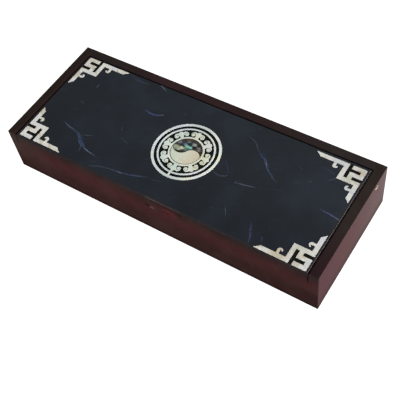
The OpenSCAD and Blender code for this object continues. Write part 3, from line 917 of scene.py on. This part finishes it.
def curl_spiral(cloud, side):
    """The spiral in the left or right curl of one cloud."""
    turn = math.radians(-90 + cloud * 360 / CLOUDS - side * CURL_ANGLE)
    up = Vector((math.cos(turn), math.sin(turn)))
    out = Vector((up.y, -up.x)) * side
    middle = Vector((MEDALLION.x, MEDALLION.y)) + up * CURL_AT + out * BALL_OUT
    path = []
    for i in range(SPIRAL_STEPS + 1):
        share = i / SPIRAL_STEPS
        radius = SPIRAL_OUT + (SPIRAL_IN - SPIRAL_OUT) * share
        angle = math.pi - SPIRAL_TURN * share
        path.append(middle + radius * (out * math.cos(angle) + up * math.sin(angle)))
    return path


spirals = [
    (curl_spiral(cloud, side), SPIRAL_WIDTH) for cloud in range(CLOUDS) for side in (-1, 1)]
mesh = thread_mesh("cloud_engraving", spirals, SHELL_TOP, SPIRAL_LIFT, fade)
new_piece(mesh.name, mesh, "lid", engraved_line())

# Velvet linings: room about a pad, its mesh steps, the rim's least height, and slack in the velvet
PAD_CLEAR = 0.02
PAD_STEP = 5.0
RIM_STEPS = 5
RIM_SHARE = 0.35
SLACK = 0.1
SLACK_SIZE = 14
FLOOR_SOFT = 1.3
WALL_SOFT = 0.9
INSIDE = (CASE_LOW + CASE_HIGH) / 2
VELVET = velvet()


def stations(low, high, soft):
    """Places along one side of a pad, close together in its rounded rims."""
    rim = [soft * (1 - math.cos(math.pi / 2 * i / RIM_STEPS)) for i in range(RIM_STEPS)]
    count = round((high - low - 2 * soft) / PAD_STEP)
    middle = [soft + (high - low - 2 * soft) * i / count for i in range(count + 1)]
    return [low + s for s in rim + middle] + [high - s for s in reversed(rim)]


def rim_rise(value, low, high, soft):
    """The height of a rounded rim, as a share of the pad's own, at a place along one side."""
    from_rim = min(value - low, high - value, soft)
    return math.sqrt(max(0.0, 1 - (1 - from_rim / soft) ** 2))


def rim_loop(layer):
    """The outermost points of a grid, in order round it."""
    return (
        [row[0] for row in layer] + layer[-1][1:]
        + [row[-1] for row in reversed(layer[:-1])] + layer[0][-2:0:-1])


def pad_height(u, v, rise):
    """The pad's height at a place, as a share of its room, uneven where it is not rim."""
    loose = SLACK * rise * (0.5 + 0.5 * noise.noise(Vector((u, v, 0)) / SLACK_SIZE))
    return RIM_SHARE + (1 - RIM_SHARE) * rise - loose


def velvet_pad(node, soft):
    """A velvet panel in a lining's space: flat at the back, uneven in front, with rounded rims."""
    low, high = box_mm(node)
    thin = min(range(3), key=lambda axis: high[axis] - low[axis])
    long_way, short_way = (axis for axis in range(3) if axis != thin)
    back, front = low[thin] + PAD_CLEAR, high[thin] - PAD_CLEAR
    if (low[thin] + high[thin]) / 2 > INSIDE[thin]:
        back, front = front, back
    low += Vector((PAD_CLEAR,) * 3)
    high -= Vector((PAD_CLEAR,) * 3)
    mesh = bmesh.new()
    layers = ([], [])
    for u in stations(low[long_way], high[long_way], soft):
        rise_u = rim_rise(u, low[long_way], high[long_way], soft)
        rows = ([], [])
        for v in stations(low[short_way], high[short_way], soft):
            rise = rise_u * rim_rise(v, low[short_way], high[short_way], soft)
            share = pad_height(u, v, rise)
            for row, height in zip(rows, (back, back + (front - back) * share)):
                spot = Vector()
                spot[long_way], spot[short_way], spot[thin] = u, v, height
                row.append(mesh.verts.new(spot))
        for layer, row in zip(layers, rows):
            layer.append(row)
    for layer in layers:
        for row, following in zip(layer, layer[1:]):
            for quad in zip(row, row[1:], following[1:], following):
                mesh.faces.new(quad)
    lower, upper = (rim_loop(layer) for layer in layers)
    for quad in zip(lower, lower[1:] + lower[:1], upper[1:] + upper[:1], upper):
        mesh.faces.new(quad)
    name = node.replace("lining", "velvet")
    piece = new_piece(name, closed_mesh(name, mesh), "case", VELVET)
    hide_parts(node)


velvet_pad("floor_lining", FLOOR_SOFT)
for node in ("front_lining", "rear_lining", "left_lining", "right_lining"):
    velvet_pad(node, WALL_SOFT)

# Stage, in metres and watts. The camera is fitted to the box's straight edges in the photograph.
CAMERA_AT = Vector((0.225014, -0.256285, 0.446855))
CAMERA_FORWARD = Vector((-0.38525, 0.44286, -0.80961))
CAMERA_UP = Vector((-0.38784, 0.71837, 0.57751))
CAMERA_LENS = 69.671
SENSOR = 36.0
WHITE = (1, 1, 1, 1)
FLOOR_GREY = (0.3, 0.3, 0.3, 1)
FLOOR_GLOW = 0.95
FLOOR_HALF = 6.0
FLOOR_Z = -0.0002
BRIGHT_SIDE = Vector((1.0, 0.6, -0.3))
SKY_STEP = (-0.1, 0.9, 0.02, 0.35)
SKY_TO_THE_EYE = 0.95

# Lights, as name, place, target, width, height, power and whether they show as a gloss
LIGHTS = (
    ("top", (0.2, -0.3, 1.25), (0.0, 0.0, 0.04), 0.9, 0.9, 12, False),
    ("side", (1.0, 0.3, 0.07), (0.0, 0.0, 0.02), 0.5, 0.1, 31, False),
    ("front", (-0.1, -1.1, 0.2), (0.0, 0.0, 0.02), 0.9, 0.3, 12.4, False),
    ("left", (-1.0, 0.05, 0.02), (0.0, 0.0, 0.02), 0.5, 0.03, 12, False),
    ("rim", (1.0, 0.5, 0.55), (0.0, 0.0, 0.03), 0.3, 0.3, 5, True),
)


def pale_floor():
    """A plain white floor that glows a little, so that it stays even round the box."""
    mesh = bpy.data.meshes.new("floor")
    corners = ((-1, -1), (1, -1), (1, 1), (-1, 1))
    mesh.from_pydata(
        [(x * FLOOR_HALF, y * FLOOR_HALF, FLOOR_Z) for x, y in corners], [], [(0, 1, 2, 3)])
    paint = Paint(
        "floor_paint", Specular_IOR_Level=0.0, Emission_Strength=FLOOR_GLOW, Emission_Color=WHITE)
    mesh.materials.append(paint.finish(FLOOR_GREY, 1.0))
    floor = bpy.data.objects.new("floor", mesh)
    floor.visible_glossy = False
    bpy.context.scene.collection.objects.link(floor)


def studio_world():
    """Soft light that is brightest low at the right and rear, and plain pale to the eye."""
    world = bpy.data.worlds.new("studio")
    world.use_nodes = True
    tree = world.node_tree
    background = tree.nodes["Background"]
    background.inputs["Color"].default_value = WHITE
    source = tree.nodes.new("ShaderNodeTexCoord")
    toward = tree.nodes.new("ShaderNodeVectorMath")
    toward.operation = "DOT_PRODUCT"
    toward.inputs[1].default_value = BRIGHT_SIDE.normalized()
    tree.links.new(source.outputs["Generated"], toward.inputs[0])
    ramp = tree.nodes.new("ShaderNodeMapRange")
    set_range(ramp, *SKY_STEP)
    tree.links.new(toward.outputs["Value"], ramp.inputs["Value"])
    path = tree.nodes.new("ShaderNodeLightPath")
    choose = tree.nodes.new("ShaderNodeMix")
    tree.links.new(path.outputs["Is Camera Ray"], choose.inputs["Factor"])
    tree.links.new(ramp.outputs[0], choose.inputs["A"])
    choose.inputs["B"].default_value = SKY_TO_THE_EYE
    tree.links.new(choose.outputs["Result"], background.inputs["Strength"])
    bpy.context.scene.world = world


def photo_camera():
    """The camera at the photograph's viewing angle."""
    back = -CAMERA_FORWARD.normalized()
    up = (CAMERA_UP - back * CAMERA_UP.dot(back)).normalized()
    right = up.cross(back)
    camera = bpy.data.cameras.new("camera")
    camera.sensor_width = SENSOR
    camera.lens = CAMERA_LENS
    eye = bpy.data.objects.new("camera", camera)
    turn = Matrix((right, up, back)).transposed().to_4x4()
    eye.matrix_world = Matrix.Translation(CAMERA_AT) @ turn
    bpy.context.scene.collection.objects.link(eye)
    bpy.context.scene.camera = eye


def area_light(name, at, target, width, height, power, glossy):
    light = bpy.data.lights.new(name, "AREA")
    light.shape = "RECTANGLE"
    light.size = width
    light.size_y = height
    light.energy = power
    lamp = bpy.data.objects.new(name, light)
    lamp.location = at
    lamp.rotation_euler = (Vector(target) - Vector(at)).to_track_quat("-Z", "Y").to_euler()
    lamp.visible_glossy = glossy
    bpy.context.scene.collection.objects.link(lamp)


pale_floor()
studio_world()
photo_camera()
for light in LIGHTS:
    area_light(*light)
bpy.context.scene.view_settings.view_transform = "Standard"
